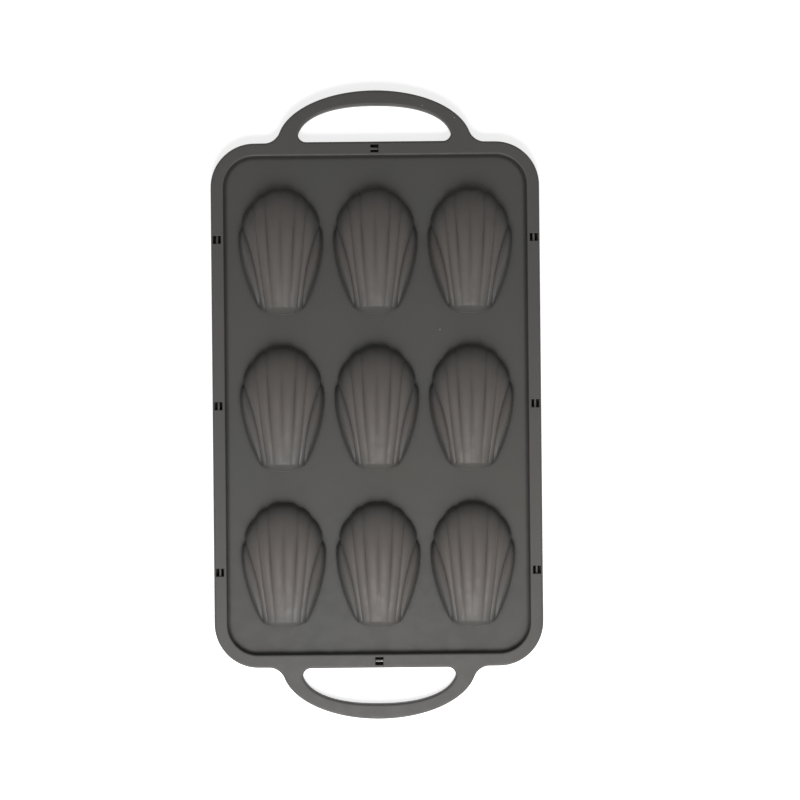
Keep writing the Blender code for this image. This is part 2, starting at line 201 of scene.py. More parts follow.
HALF_RIM_WIDTH = RIM_HIGH.x
HALF_RIM_LENGTH = RIM_HIGH.y - GRIP_REACH
RIM_THICKNESS = RIM_HIGH.z
SHEET_LOW = TRAY_LOW.z
SHEET_HIGH = SHEET_LOW + SHEET_THICKNESS
CROWN = SHEET_HIGH + CUP_HEIGHT
SHEET_INSET = HALF_RIM_WIDTH - TRAY_HIGH.x
WIRE_HEIGHT = (WIRE_LOW.z + WIRE_HIGH.z) / 2
WIRE_RADIUS = (WIRE_HIGH.z - WIRE_LOW.z) / 2
CHANNEL_RADIUS = WIRE_RADIUS + WIRE_CLEARANCE
WIRE_INSET = HALF_RIM_WIDTH - (WIRE_HIGH.x - WIRE_RADIUS)
HALF_FACET = pi / (4 + 2 * WIRE_ROUND_STEPS)
GRIP_HALF_SPAN = HALF_RIM_WIDTH - RIM_CORNER_RADIUS - GRIP_SHOULDER
GRIP_HOLE_HALF_SPAN = GRIP_HALF_SPAN - GRIP_SIDE_BAND


def bisect(difference, low, high):
    """The place between low, where difference is negative, and high, where it is positive."""
    for _ in range(BISECTION_STEPS):
        middle = (low + high) / 2
        if difference(middle) < 0:
            low = middle
        else:
            high = middle
    return (low + high) / 2


# Flat outlines


def arc(centre, radius, start, end, steps):
    """Points along an arc between two angles, both ends included."""
    angles = [start + (end - start) * step / steps for step in range(steps + 1)]
    return [centre + Vector((radius * cos(angle), radius * sin(angle))) for angle in angles]


def turned_half_way(points):
    return [-point for point in points]


def mirrored(points):
    return [Vector((-point.x, point.y)) for point in reversed(points)]


def inset_rectangle(inset):
    """The rim's outer rectangle, drawn in by the same distance all round, counter-clockwise."""
    radius = RIM_CORNER_RADIUS - inset
    corner = Vector((HALF_RIM_WIDTH - RIM_CORNER_RADIUS, HALF_RIM_LENGTH - RIM_CORNER_RADIUS))
    right = arc(corner, radius, 0, pi / 2, RIM_CORNER_STEPS)
    far_half = right + mirrored(right)
    return far_half + turned_half_way(far_half)


def grip_outer_edge():
    """The outer edge of a grip from its right root to its left one, above the rim's end line."""

    def normal_angle(turn):
        return atan2(sin(turn) * GRIP_HALF_SPAN, cos(turn) * GRIP_REACH)

    def fillet_centre(turn):
        angle = normal_angle(turn)
        on_bow = Vector((GRIP_HALF_SPAN * cos(turn), GRIP_REACH * sin(turn)))
        return on_bow + GRIP_ROOT_FILLET * Vector((cos(angle), sin(angle)))

    touch = bisect(lambda turn: fillet_centre(turn).y - GRIP_ROOT_FILLET, 0, pi / 2)
    touch_angle = pi + normal_angle(touch)
    fillet = arc(fillet_centre(touch), GRIP_ROOT_FILLET, 3 * pi / 2, touch_angle, GRIP_FILLET_STEPS)[1:]
    turns = [touch + (pi - 2 * touch) * step / GRIP_STEPS for step in range(1, GRIP_STEPS)]
    bow = [Vector((GRIP_HALF_SPAN * cos(turn), GRIP_REACH * sin(turn))) for turn in turns]
    return fillet + bow + mirrored(fillet)


def grip_hole():
    """The hand hole of a grip: a squarish bow on a flat side with rounded corners."""
    height = GRIP_REACH - GRIP_BAND - GRIP_HOLE_LIFT

    def bow_x(y):
        return GRIP_HOLE_HALF_SPAN * (1 - (y / height) ** GRIP_HOLE_POWER) ** (1 / GRIP_HOLE_POWER)

    corner_x = bow_x(GRIP_HOLE_CORNER_RADIUS) - GRIP_HOLE_CORNER_RADIUS
    corner = Vector((corner_x, GRIP_HOLE_CORNER_RADIUS))
    right_corner = arc(corner, GRIP_HOLE_CORNER_RADIUS, -pi / 2, 0, GRIP_FILLET_STEPS)
    start = acos(bow_x(GRIP_HOLE_CORNER_RADIUS) / GRIP_HOLE_HALF_SPAN)
    bow = []
    for step in range(1, GRIP_STEPS):
        turn = start + (pi - 2 * start) * step / GRIP_STEPS
        across = abs(cos(turn)) ** (2 / GRIP_HOLE_POWER)
        side = 1 if cos(turn) > 0 else -1
        up = sin(turn) ** (2 / GRIP_HOLE_POWER)
        bow.append(Vector((side * GRIP_HOLE_HALF_SPAN * across, height * up)))
    lift = Vector((0, GRIP_HOLE_LIFT))
    return [point + lift for point in right_corner + bow + mirrored(right_corner)]


def at_rim_end(points):
    return [point + Vector((0, HALF_RIM_LENGTH)) for point in points]


def rim_outer_edge():
    corner = Vector((HALF_RIM_WIDTH - RIM_CORNER_RADIUS, HALF_RIM_LENGTH - RIM_CORNER_RADIUS))
    right = arc(corner, RIM_CORNER_RADIUS, 0, pi / 2, RIM_CORNER_STEPS)
    far_half = right + at_rim_end(grip_outer_edge()) + mirrored(right)
    return far_half + turned_half_way(far_half)


# Meshes


def new_object(name, mesh):
    obj = bpy.data.objects.new(name, mesh)
    bpy.context.scene.collection.objects.link(obj)
    return obj


def finish_shape(shape, name):
    """A mesh from a bmesh, welded and facing outwards."""
    bmesh.ops.remove_doubles(shape, verts=shape.verts, dist=WELD_DISTANCE)
    bmesh.ops.recalc_face_normals(shape, faces=shape.faces)
    if shape.calc_volume(signed=True) < 0:
        bmesh.ops.reverse_faces(shape, faces=shape.faces)
    mesh = bpy.data.meshes.new(name)
    shape.to_mesh(mesh)
    shape.free()
    return mesh


def triangulate(mesh):
    shape = bmesh.new()
    shape.from_mesh(mesh)
    bmesh.ops.triangulate(shape, faces=shape.faces)
    shape.to_mesh(mesh)
    shape.free()


def soften(mesh):
    """Smooth shading but for the sharp edges."""
    mesh.shade_smooth()
    mesh.set_sharp_from_angle(angle=SHARP_ANGLE)


def evaluated_mesh(obj):
    graph = bpy.context.evaluated_depsgraph_get()
    return bpy.data.meshes.new_from_object(obj.evaluated_get(graph))


def mesh_from_curve(curve, name, height):
    holder = new_object(name + "_curve", curve)
    shape = bmesh.new()
    shape.from_mesh(evaluated_mesh(holder))
    bpy.data.objects.remove(holder, do_unlink=True)
    bmesh.ops.translate(shape, verts=shape.verts, vec=(0, 0, height))
    return finish_shape(shape, name)


def add_closed_spline(curve, points):
    spline = curve.splines.new("POLY")
    spline.points.add(len(points) - 1)
    for spline_point, point in zip(spline.points, points):
        spline_point.co = (*point.to_3d(), 1.0)
    spline.use_cyclic_u = True
    return spline


def plate(name, outlines, low, high, rounding=0.0):
    """A flat plate between two heights. The first outline is its edge, and the others are holes."""
    curve = bpy.data.curves.new(name, "CURVE")
    curve.dimensions = "2D"
    curve.fill_mode = "BOTH"
    curve.extrude = (high - low) / 2 - rounding
    curve.bevel_depth = rounding
    curve.bevel_resolution = RIM_ROUNDING_STEPS
    curve.offset = -rounding
    add_closed_spline(curve, outlines[0])
    for hole in outlines[1:]:
        add_closed_spline(curve, hole[::-1])
    return mesh_from_curve(curve, name, (low + high) / 2)


def rod(name, points, radius, closed, tilt=0.0):
    """A round rod along points, at the height of the wires, tilted about its own line."""
    curve = bpy.data.curves.new(name, "CURVE")
    curve.dimensions = "3D"
    curve.twist_mode = "Z_UP"
    curve.bevel_depth = radius
    curve.bevel_resolution = WIRE_ROUND_STEPS
    curve.use_fill_caps = True
    spline = add_closed_spline(curve, points)
    spline.use_cyclic_u = closed
    for point in spline.points:
        point.tilt = tilt
    return mesh_from_curve(curve, name, WIRE_HEIGHT)


def combine(obj, mesh, operation="DIFFERENCE"):
    """Cuts a mesh out of an object's mesh, or joins it on, and keeps the result."""
    triangulate(obj.data)
    triangulate(mesh)
    other = new_object("operand", mesh)
    modifier = obj.modifiers.new("combine", "BOOLEAN")
    modifier.operation = operation
    modifier.solver = "EXACT"
    modifier.object = other
    result = evaluated_mesh(obj)
    obj.modifiers.clear()
    obj.data = result
    bpy.data.objects.remove(other, do_unlink=True)


# Cups


def station(y):
    """0 at the narrow end of a cup, 1 at its rounded end."""
    return (y + CUP_NARROW_LENGTH) / (CUP_NARROW_LENGTH + CUP_ROUND_LENGTH)


def eased(start, end, share):
    """From start to end as share goes from 0 to 1, level at both ends."""
    return start + (end - start) * share**2 * (3 - 2 * share)


def valley_depth(valley, y):
    """How far a valley lies under the ribs: a share at each end and one at the deepest station."""
    place = station(y)
    deepest = VALLEY_MIDDLE_DEPTH_SHARES[valley]
    if place < DEEPEST_STATION:
        share = eased(VALLEY_NARROW_DEPTH_SHARES[valley], deepest, place / DEEPEST_STATION)
    else:
        beyond = (place - DEEPEST_STATION) / (1 - DEEPEST_STATION)
        share = eased(deepest, VALLEY_ROUND_DEPTH_SHARES[valley], beyond)
    return VALLEY_DEPTH * share


def softened(distance):
    """A distance from a valley's line in rib widths, rounded off next to the line."""
    return hypot(distance, VALLEY_SOFTNESS_SHARE) - VALLEY_SOFTNESS_SHARE


class CupSkin:
    """One skin of a cup above its lip, the level loop where its rounding into the sheet starts.

    A column runs along the cup at a place counted from its middle: whole numbers are the valleys, and
    the last whole number is the side edge. Negative places are on the other side.
    """

    def __init__(self, inset, low, crown, lip, rib_steps, row_steps):
        self.half_width = CUP_HALF_WIDTH - inset
        self.round_length = CUP_ROUND_LENGTH - inset
        self.narrow_length = CUP_NARROW_LENGTH - inset
        self.narrow_taper = CUP_NARROW_LENGTH + CUP_NARROW_CUT - inset
        self.low = low
        self.height = crown - low
        self.lip = lip - low
        self.rib_steps = rib_steps
        self.row_steps = row_steps
        self.corner_y = bisect(
            lambda y: self.edge_x(y) - self.valley_x(OUTERMOST_VALLEY, y), -self.narrow_length, 0
        )

    def reach(self, y):
        return self.round_length if y > 0 else self.narrow_taper

    def along(self, y):
        """0 where the cup is widest, 1 where its skin would reach the foot of a whole end."""
        if y > 0:
            return (y / self.round_length) ** 2
        share = -y / self.narrow_taper
        return share**2 * (1 + NARROW_STRAIGHTNESS) / (1 + NARROW_STRAIGHTNESS * share)

    def edge_x(self, y):
        """The lip's half width."""
        return self.half_width * sqrt(max(0.0, 1 - self.along(y) - (self.lip / self.height) ** 2))

    def valley_x(self, valley, y):
        narrow = VALLEY_NARROW_SHARES[valley]
        rounded = VALLEY_ROUND_SHARES[valley]
        return self.half_width * (narrow + (rounded - narrow) * station(y) ** VALLEY_BENDS[valley])

    def level_outward(self, point):
        """The way out of the smooth ellipse, which spreads, so loops moved along it never cross."""
        return Vector((point.x / self.half_width**2, point.y / self.reach(point.y) ** 2, 0)).normalized()

    def column_x(self, place, y):
        if place >= OUTERMOST_VALLEY:
            inner = self.valley_x(OUTERMOST_VALLEY, y)
            across = 1 - (OUTERMOST_VALLEY + 1 - place) ** 2
            return inner + across * (self.edge_x(y) - inner)
        valley = int(place)
        inner = self.valley_x(valley, y)
        return inner + (place - valley) * (self.valley_x(valley + 1, y) - inner)

    def inset_at(self, place, y):
        """How far the skin lies under the smooth dome there."""
        if place >= OUTERMOST_VALLEY:
            outermost = self.valley_x(OUTERMOST_VALLEY, y)
            rib_width = outermost - self.valley_x(OUTERMOST_VALLEY - 1, y)
            lobe_width = self.edge_x(y) - outermost
            on_lobe = max(0.0, self.column_x(place, y) - outermost)
            from_valley = softened(on_lobe / rib_width)
            across = on_lobe / max(lobe_width, WELD_DISTANCE)
            bulge = LOBE_BULGE_SHARE * lobe_width * across**LOBE_CREST_POWER * (1 - across)
            return valley_depth(OUTERMOST_VALLEY, y) * max(0.0, 1 - 2 * from_valley) ** RIB_POWER - bulge
        valley = int(place)
        across = place - valley
        here = valley_depth(valley, y)
        depth = here + across * (valley_depth(valley + 1, y) - here)
        return depth * (1 - 2 * softened(min(across, 1 - across))) ** RIB_POWER

    def near_foot(self, point):
        """How much painted shade lies here: 1 on the line where the whole dome meets the sheet, 0 a
        short way up the dome or out.
        """
        inwards = self.half_width * (1 - sqrt(self.along(point.y) + (point.x / self.half_width) ** 2))
        reach = FOOT_SHADE_UP if inwards > 0 else FOOT_SHADE_OUT
        return max(0.0, 1 - abs(inwards) / reach)

    def round_end_y(self, place):
        return bisect(lambda y: self.column_x(place, y) - self.edge_x(y), 0, self.round_length)

    def narrow_end(self, place):
        """How far along the cup the foot and the top of the narrow end's face are."""
        top = self.valley_x(OUTERMOST_VALLEY, self.corner_y)
        across = (self.column_x(place, self.corner_y) / top) ** 2
        foot = across * self.corner_y - (1 - across) * self.narrow_length
        return foot, foot + (1 - across) * CUP_END_RUN

    def point(self, place, y):
        """A point of the skin: an ellipsoid, cut in by the valleys."""
        x = self.column_x(place, y)
        z = self.height * sqrt(max(0.0, 1 - (x / self.half_width) ** 2 - self.along(y)))
        outward = Vector((x / self.half_width**2, y / self.reach(y) ** 2, z / self.height**2))
        return Vector((x, y, z)) - self.inset_at(place, y) * outward.normalized()

    def end_face(self, place):
        """Points up the narrow end's face and round its top edge, and how far along the cup they end."""
        foot_y, top_y = self.narrow_end(place)
        top = self.point(place, top_y)
        foot = Vector((top.x, foot_y, 0))
        lip = foot.lerp(top, min(1.0, self.lip / top.z))
        rounding = min(END_EDGE_ROUNDING, (top - lip).length / 2)
        start = top + (lip - top).normalized() * rounding
        end = self.point(place, top_y + rounding)
        points = [lip, lip.lerp(start, 1 / 3), lip.lerp(start, 2 / 3)]
        for step in range(ROUNDING_STEPS + 1):
            share = step / ROUNDING_STEPS
            points.append(start.lerp(top, share).lerp(top.lerp(end, share), share))
        return points, top_y + rounding

    def column(self, place):
        """Points of one column from the lip at the narrow end to the lip at the rounded one."""
        side = -1 if place < 0 else 1
        place = abs(place)
        on_body = min(place, OUTERMOST_VALLEY)
        points, start_y = self.end_face(on_body)
        round_y = self.round_end_y(on_body)
        steps = self.row_steps
        rows = [start_y * (1 - step / steps) for step in range(1, steps)]
        rows += [round_y * sin(pi / 2 * step / steps) for step in range(steps + 1)]
        points += [self.point(place, y) for y in rows]
        for point in points:
            point.z = max(point.z, self.lip)
        points[0].z = points[-1].z = self.lip
        return [Vector((side * point.x, point.y, self.low + point.z)) for point in points]

    def grid(self):
        steps = self.rib_steps * (OUTERMOST_VALLEY + 1)
        return [self.column(step / self.rib_steps) for step in range(-steps, steps + 1)]


def without_doubles(points):
    """A closed loop's points without those that repeat the one before."""
    kept = []
    for point in points:
        if not kept or (point - kept[-1]).length > WELD_DISTANCE:
            kept.append(point)
    if (kept[0] - kept[-1]).length <= WELD_DISTANCE:
        kept.pop()
    return kept


def edge_loop(grid):
    """The grid's border, counter-clockwise from above."""
    near = [column[0] for column in grid]
    right = grid[-1]
    far = [column[-1] for column in reversed(grid)]
    left = grid[0][::-1]
    return without_doubles(near + right + far + left)


def rounding_loops(skin, lip_loop, radius):
    """Loops from a lip down and out to the sheet, and one more on the flat beside them."""
    directions = [skin.level_outward(point) for point in lip_loop]
    loops = [lip_loop]
    for step in range(1, ROUNDING_STEPS + 1):
        angle = pi / 2 * step / ROUNDING_STEPS
        out = radius * (1 - cos(angle))
        down = Vector((0, 0, radius * sin(angle)))
        loops.append([point + out * way - down for point, way in zip(lip_loop, directions)])
    loops.append([point + FLAT_MARGIN * way for point, way in zip(loops[-1], directions)])
    return loops


def cup_centres():
    for row in (-1, 0, 1):
        for column in (-1, 0, 1):
            yield Vector((column * CUP_COLUMN_PITCH, row * CUP_ROW_PITCH + CUP_PATTERN_SHIFT, 0))


def add_verts(shape, points, offset, skin):
    """New corners at the points moved by the offset, marked with how near to a cup's foot they are."""
    mark = shape.verts.layers.float[FOOT_MARK]
    verts = []
    for point in points:
        vert = shape.verts.new(point + offset)
        vert[mark] = skin.near_foot(point)
        verts.append(vert)
    return verts


def add_grid(shape, grid, offset, skin):
    verts = [add_verts(shape, column, offset, skin) for column in grid]
    for left, right in zip(verts, verts[1:]):
        for row in range(len(left) - 1):
            shape.faces.new((left[row], right[row], right[row + 1], left[row + 1]))


def add_band(shape, loops):
    for inner, outer in zip(loops, loops[1:]):
        for index in range(len(inner)):
            shape.faces.new((inner[index - 1], inner[index], outer[index], outer[index - 1]))


def flat_grid(outline, holes):
    """Points of an even grid between the loops of a flat face, clear of all of them."""
    edge_points = [point for loop in (outline, *holes) for point in loop]
    near = KDTree(len(edge_points))
    for index, point in enumerate(edge_points):
        near.insert(point, index)
    near.balance()
    reach_x = max(point.x for point in outline) - FLAT_GRID_CLEARANCE
    reach_y = max(point.y for point in outline) - FLAT_GRID_CLEARANCE
    columns = int(reach_x / FLAT_GRID)
    rows = int(reach_y / FLAT_GRID)
    for column in range(-columns, columns + 1):
        for row in range(-rows, rows + 1):
            point = Vector((column * FLAT_GRID, row * FLAT_GRID, outline[0].z))
            if near.find(point)[2] > FLAT_GRID_CLEARANCE:
                yield point


def add_flat(shape, outline, holes):
    """A flat face with holes, in even triangles."""
    loops = [outline, *holes]
    points = [point for loop in loops for point in loop]
    first = 0
    faces = []
    for loop in loops:
        faces.append(list(range(first, first + len(loop))))
        first += len(loop)
    points += flat_grid(outline, holes)
    flat = [point.to_2d() for point in points]
    flat, _, triangles, _, _, sources = delaunay_2d_cdt(flat, [], faces, 1, WELD_DISTANCE)
    verts = [shape.verts.new((*point, outline[0].z)) for point in flat]
    for triangle, source in zip(triangles, sources):
        if source == [0]:
            shape.faces.new([verts[index] for index in triangle])
    bmesh.ops.delete(shape, geom=[vert for vert in verts if not vert.link_faces], context="VERTS")


def add_skin(shape, skin, radius, level):
    """The nine cups' skins, their roundings and the flat of the sheet between them at one level."""
    grid = skin.grid()
    loops = rounding_loops(skin, edge_loop(grid), radius)
    outline = [point.to_3d() + Vector((0, 0, level)) for point in inset_rectangle(SHEET_INSET)]
    holes = []
    for centre in cup_centres():
        add_grid(shape, grid, centre, skin)
        hole = [point + centre for point in loops[-1]]
        rounding = [add_verts(shape, loop, centre, skin) for loop in loops[:-1]]
        add_band(shape, [*rounding, [shape.verts.new(point) for point in hole]])
        holes.append(hole)
    add_flat(shape, outline, holes)
    return outline


def make_tray():
    """The sheet with its nine cups, hollow from below, as one closed shell."""
    outer = CupSkin(0, SHEET_HIGH, CROWN, SHEET_HIGH + FOOT_FILLET, 8, 18)
    cavity_low = SHEET_LOW - CUP_CAVITY_OVERRUN
    inner = CupSkin(CUP_WALL, cavity_low, CROWN - CUP_WALL, SHEET_LOW + MOUTH_ROUNDING, 5, 12)
    shape = bmesh.new()
    shape.verts.layers.float.new(FOOT_MARK)
    upper = add_skin(shape, outer, FOOT_FILLET, SHEET_HIGH)
    lower = add_skin(shape, inner, MOUTH_ROUNDING, SHEET_LOW)
    add_band(shape, [[shape.verts.new(point) for point in edge] for edge in (upper, lower)])
    return new_object("tray_shell", finish_shape(shape, "tray_shell"))


# Rim and wires


def window_cutter(centre):
    """A square pit down to the wire's channel, with a small chamfer at the rim's face."""
    shape = bmesh.new()
    half = WINDOW_SIDE / 2
    levels = (
        (WIRE_HEIGHT - CHANNEL_RADIUS + WINDOW_FLOOR_LIFT, half),
        (RIM_THICKNESS - WINDOW_CHAMFER, half),
        (RIM_THICKNESS, half + WINDOW_CHAMFER),
        (RIM_THICKNESS + OVERRUN, half + WINDOW_CHAMFER),
    )
    corners = ((-1, -1), (1, -1), (1, 1), (-1, 1))
    loops = []
    for z, reach in levels:
        places = [(centre.x + x * reach, centre.y + y * reach, z) for x, y in corners]
        loops.append([shape.verts.new(place) for place in places])
    for lower, upper in zip(loops, loops[1:]):
        for index in range(len(corners)):
            shape.faces.new((lower[index - 1], lower[index], upper[index], upper[index - 1]))
    shape.faces.new(loops[0][::-1])
    shape.faces.new(loops[-1])
    return finish_shape(shape, "window_cutter")


def window_places():
    side_x = HALF_RIM_WIDTH - WIRE_INSET
    end_y = HALF_RIM_LENGTH - WIRE_INSET
    middle = (WINDOWS_PER_SIDE - 1) / 2
    places = [Vector((0, end_y)), Vector((0, -end_y))]
    for index in range(WINDOWS_PER_SIDE):
        y = WINDOW_SPACING * (index - middle)
        places += [Vector((side_x, y)), Vector((-side_x, y))]
    return places


def grip_wire_path(foot_y):
    """The middle line of a grip from foot to foot, in the far grip's place."""
    half_span = (GRIP_HALF_SPAN + GRIP_HOLE_HALF_SPAN) / 2
    reach = GRIP_REACH - GRIP_BAND / 2
    turns = [pi * step / GRIP_WIRE_STEPS for step in range(GRIP_WIRE_STEPS + 1)]
    bow = [Vector((half_span * cos(turn), HALF_RIM_LENGTH + reach * sin(turn))) for turn in turns]
    return [Vector((half_span, foot_y)), *bow, Vector((-half_span, foot_y))]


def make_rim():
    far_hole = at_rim_end(grip_hole())
    outlines = [rim_outer_edge(), inset_rectangle(RIM_BAND), far_hole, turned_half_way(far_hole)]
    rim = new_object("rim_shell", plate("rim_shell", outlines, 0, RIM_THICKNESS, RIM_EDGE_ROUNDING))
    groove = inset_rectangle(SHEET_INSET - SHEET_CLEARANCE)
    combine(rim, plate("groove", [groove], SHEET_LOW - SHEET_CLEARANCE, SHEET_HIGH + SHEET_CLEARANCE))
    combine(rim, rod("ring_channel", inset_rectangle(WIRE_INSET), CHANNEL_RADIUS, True))
    grip_path = grip_wire_path(HALF_RIM_LENGTH - WIRE_INSET)
    for path in (grip_path, turned_half_way(grip_path)):
        combine(rim, rod("grip_channel", path, CHANNEL_RADIUS, False, HALF_FACET))
    for place in window_places():
        combine(rim, window_cutter(place))
    even = rim.modifiers.new("even_normals", "WEIGHTED_NORMAL")
    even.keep_sharp = True
    return rim


def make_wires():
    foot_y = HALF_RIM_LENGTH - WIRE_INSET + WIRE_RADIUS + WIRE_CLEARANCE
    far_path = grip_wire_path(foot_y)
    near_path = turned_half_way(far_path)
    ring = rod("ring_wire", inset_rectangle(WIRE_INSET), WIRE_RADIUS, True)
    far = rod("far_wire", far_path, WIRE_RADIUS, False, HALF_FACET)
    near = rod("near_wire", near_path, WIRE_RADIUS, False, HALF_FACET)
    return {
        "rim_wire": new_object("ring_wire", ring),
        "grip_wire_far": new_object("far_wire", far),
        "grip_wire_near": new_object("near_wire", near),
    }


# Materials


class Nodes:
    """A material's node tree, with short calls for the nodes that the finishes share."""

    def __init__(self, name):
        self.material = bpy.data.materials.new(name)
        self.material.use_nodes = True
        self.tree = self.material.node_tree
        self.shader = self.tree.nodes["Principled BSDF"]
        self.place = self.add("ShaderNodeTexCoord").outputs["Object"]

    def add(self, kind, **settings):
        node = self.tree.nodes.new(kind)
        for name, value in settings.items():
            setattr(node, name, value)
        return node

    def link(self, output, socket):
        self.tree.links.new(output, socket)

    def noise(self, size, detail=2.0):
        """Noise between 0 and 1 whose lumps are about this size in metres."""
        node = self.add("ShaderNodeTexNoise")
        node.inputs["Scale"].default_value = 1 / size
        node.inputs["Detail"].default_value = detail
        self.link(self.place, node.inputs["Vector"])
        return node.outputs["Fac"]

    def spread(self, value, from_low, from_high, to_low, to_high):
        node = self.add("ShaderNodeMapRange", interpolation_type="SMOOTHSTEP")
        ranges = {"From Min": from_low, "From Max": from_high, "To Min": to_low, "To Max": to_high}
        for name, number in ranges.items():
            node.inputs[name].default_value = number
        self.link(value, node.inputs["Value"])
        return node.outputs["Result"]

    def math(self, operation, first, second):
        node = self.add("ShaderNodeMath", operation=operation)
        for socket, value in zip(node.inputs, (first, second)):
            if isinstance(value, float):
                socket.default_value = value
            else:
                self.link(value, socket)
        return node.outputs[0]

    def vector(self, operation, *values):
        node = self.add("ShaderNodeVectorMath", operation=operation)
        for socket, value in zip(node.inputs, values):
            if isinstance(value, tuple):
                socket.default_value = value
            else:
                self.link(value, socket)
        return node.outputs["Value" if operation == "LENGTH" else "Vector"]

    def mix(self, share, first, second, blend="MIX"):
        """A colour mix. The colours are sockets or plain colours, and so is the share."""
        node = self.add("ShaderNodeMix", data_type="RGBA", blend_type=blend)
        for name, value in (("Factor_Float", share), ("A_Color", first), ("B_Color", second)):
            socket = next(socket for socket in node.inputs if socket.identifier == name)
            if isinstance(value, float):
                socket.default_value = value
            elif isinstance(value, tuple):
                socket.default_value = (*value, 1.0)
            else:
                self.link(value, socket)
        return next(socket for socket in node.outputs if socket.identifier == "Result_Color")

    def bump(self, height, distance, strength, onto=None):
        node = self.add("ShaderNodeBump")
        node.inputs["Distance"].default_value = distance
        node.inputs["Strength"].default_value = strength
        self.link(height, node.inputs["Height"])
        if onto is not None:
            self.link(onto, node.inputs["Normal"])
        return node.outputs["Normal"]


def silicone(name, tone, warm_tone, dust_and_edge_sheen_tone, crown_light_tone):
    """Matt dark silicone: cloudy, with fine grain; paler on the crowns as painted light, paler on convex
    edges partly from wear and partly as painted sheen, and painted shade in corners, creases, at the
    cups' feet and along the rim's seam.
    """
    nodes = Nodes(name)
    clouds = nodes.spread(nodes.noise(CLOUD_SIZE, 3.0), 0.35, 0.65, 0.0, 1.0)
    colour = nodes.mix(clouds, tone, warm_tone)
    mottle = nodes.spread(nodes.noise(MOTTLE_SIZE, 4.0), 0.3, 0.7, 0.0, 0.22)
    colour = nodes.mix(mottle, colour, MOTTLE_TONE, "SOFT_LIGHT")
    grain = nodes.noise(GRAIN_SIZE, 2.0)
    colour = nodes.mix(nodes.spread(grain, 0.3, 0.75, 0.0, 0.12), colour, dust_and_edge_sheen_tone)
    raised = nodes.add("ShaderNodeSeparateXYZ")
    nodes.link(nodes.place, raised.inputs["Vector"])
    # Painted highlight: paler towards the crowns, for the light they catch
    crown_light = nodes.spread(raised.outputs["Z"], CROWN_LIGHT_LOW, CROWN_LIGHT_HIGH, 0.0, 1.0)
    colour = nodes.mix(crown_light, colour, crown_light_tone)
    # Paler on convex edges: partly edge wear, partly painted sheen
    edges = nodes.add("ShaderNodeNewGeometry").outputs["Pointiness"]
    colour = nodes.mix(nodes.spread(edges, 0.52, 0.62, 0.0, 0.25), colour, dust_and_edge_sheen_tone)
    # Painted shade in corners and creases: darker where ambient occlusion finds surfaces close by
    creases = nodes.add("ShaderNodeAmbientOcclusion", samples=8)
    creases.inputs["Distance"].default_value = CREASE_REACH
    shade_in_creases = nodes.spread(creases.outputs["AO"], 0.3, 0.9, 0.7, 0.0)
    colour = nodes.mix(shade_in_creases, colour, PAINTED_SHADE_TONE)
    # Painted shade along the cups' feet, from the mark on the mesh
    foot = nodes.add("ShaderNodeAttribute", attribute_name=FOOT_MARK).outputs["Fac"]
    colour = nodes.mix(nodes.spread(foot, 0.0, 1.0, 0.0, 0.75), colour, PAINTED_SHADE_TONE)
    # Painted shade along the seam where the rim meets the sheet
    colour = nodes.mix(seam_shade(nodes), colour, PAINTED_SHADE_TONE)
    colour = nodes.mix(dust_specks(nodes), colour, SPECK_TONE)
    nodes.link(colour, nodes.shader.inputs["Base Color"])
    nodes.link(nodes.spread(mottle, 0.0, 0.22, 0.5, 0.62), nodes.shader.inputs["Roughness"])
    waves = nodes.bump(nodes.noise(WAVE_SIZE, 1.0), 0.25 * MM, 0.5)
    nodes.link(nodes.bump(grain, 0.03 * MM, 0.6, waves), nodes.shader.inputs["Normal"])
    nodes.shader.inputs["IOR"].default_value = SILICONE_IOR
    nodes.shader.inputs["Sheen Weight"].default_value = 0.03
    nodes.shader.inputs["Sheen Roughness"].default_value = 0.6
    return nodes.material


def seam_shade(nodes):
    """How much painted shade lies along the foot of the rim's inner edge, where it meets the sheet."""
    corner = (HALF_RIM_WIDTH - RIM_CORNER_RADIUS, HALF_RIM_LENGTH - RIM_CORNER_RADIUS, HALF_RIM_LENGTH)
    folded = nodes.vector("ABSOLUTE", nodes.place)
    beyond = nodes.vector("MAXIMUM", nodes.vector("SUBTRACT", folded, corner), (0.0, 0.0, 0.0))
    inset = nodes.math("SUBTRACT", RIM_CORNER_RADIUS, nodes.vector("LENGTH", beyond))
    far, near = SEAM_RIM_SIDE
    on_rim = nodes.spread(inset, RIM_BAND - far, RIM_BAND - near, 0.0, SEAM_SHADE)
    near, far = SEAM_SHEET_SIDE
    on_sheet = nodes.spread(inset, RIM_BAND + near, RIM_BAND + far, 1.0, 0.0)
    return nodes.math("MULTIPLY", on_rim, on_sheet)


def dust_specks(nodes):
    """A few specks of lint: the middles of scattered cells, most of which stay empty."""
    cells = nodes.add("ShaderNodeTexVoronoi")
    cells.inputs["Scale"].default_value = 1 / SPECK_SPACING
    nodes.link(nodes.place, cells.inputs["Vector"])
    chance = nodes.add("ShaderNodeSeparateColor")
    nodes.link(cells.outputs["Color"], chance.inputs["Color"])
    chosen = nodes.math("GREATER_THAN", chance.outputs["Red"], 0.93)
    near = nodes.spread(cells.outputs["Distance"], 0.02, 0.045, 0.8, 0.0)
    return nodes.math("MULTIPLY", chosen, near)


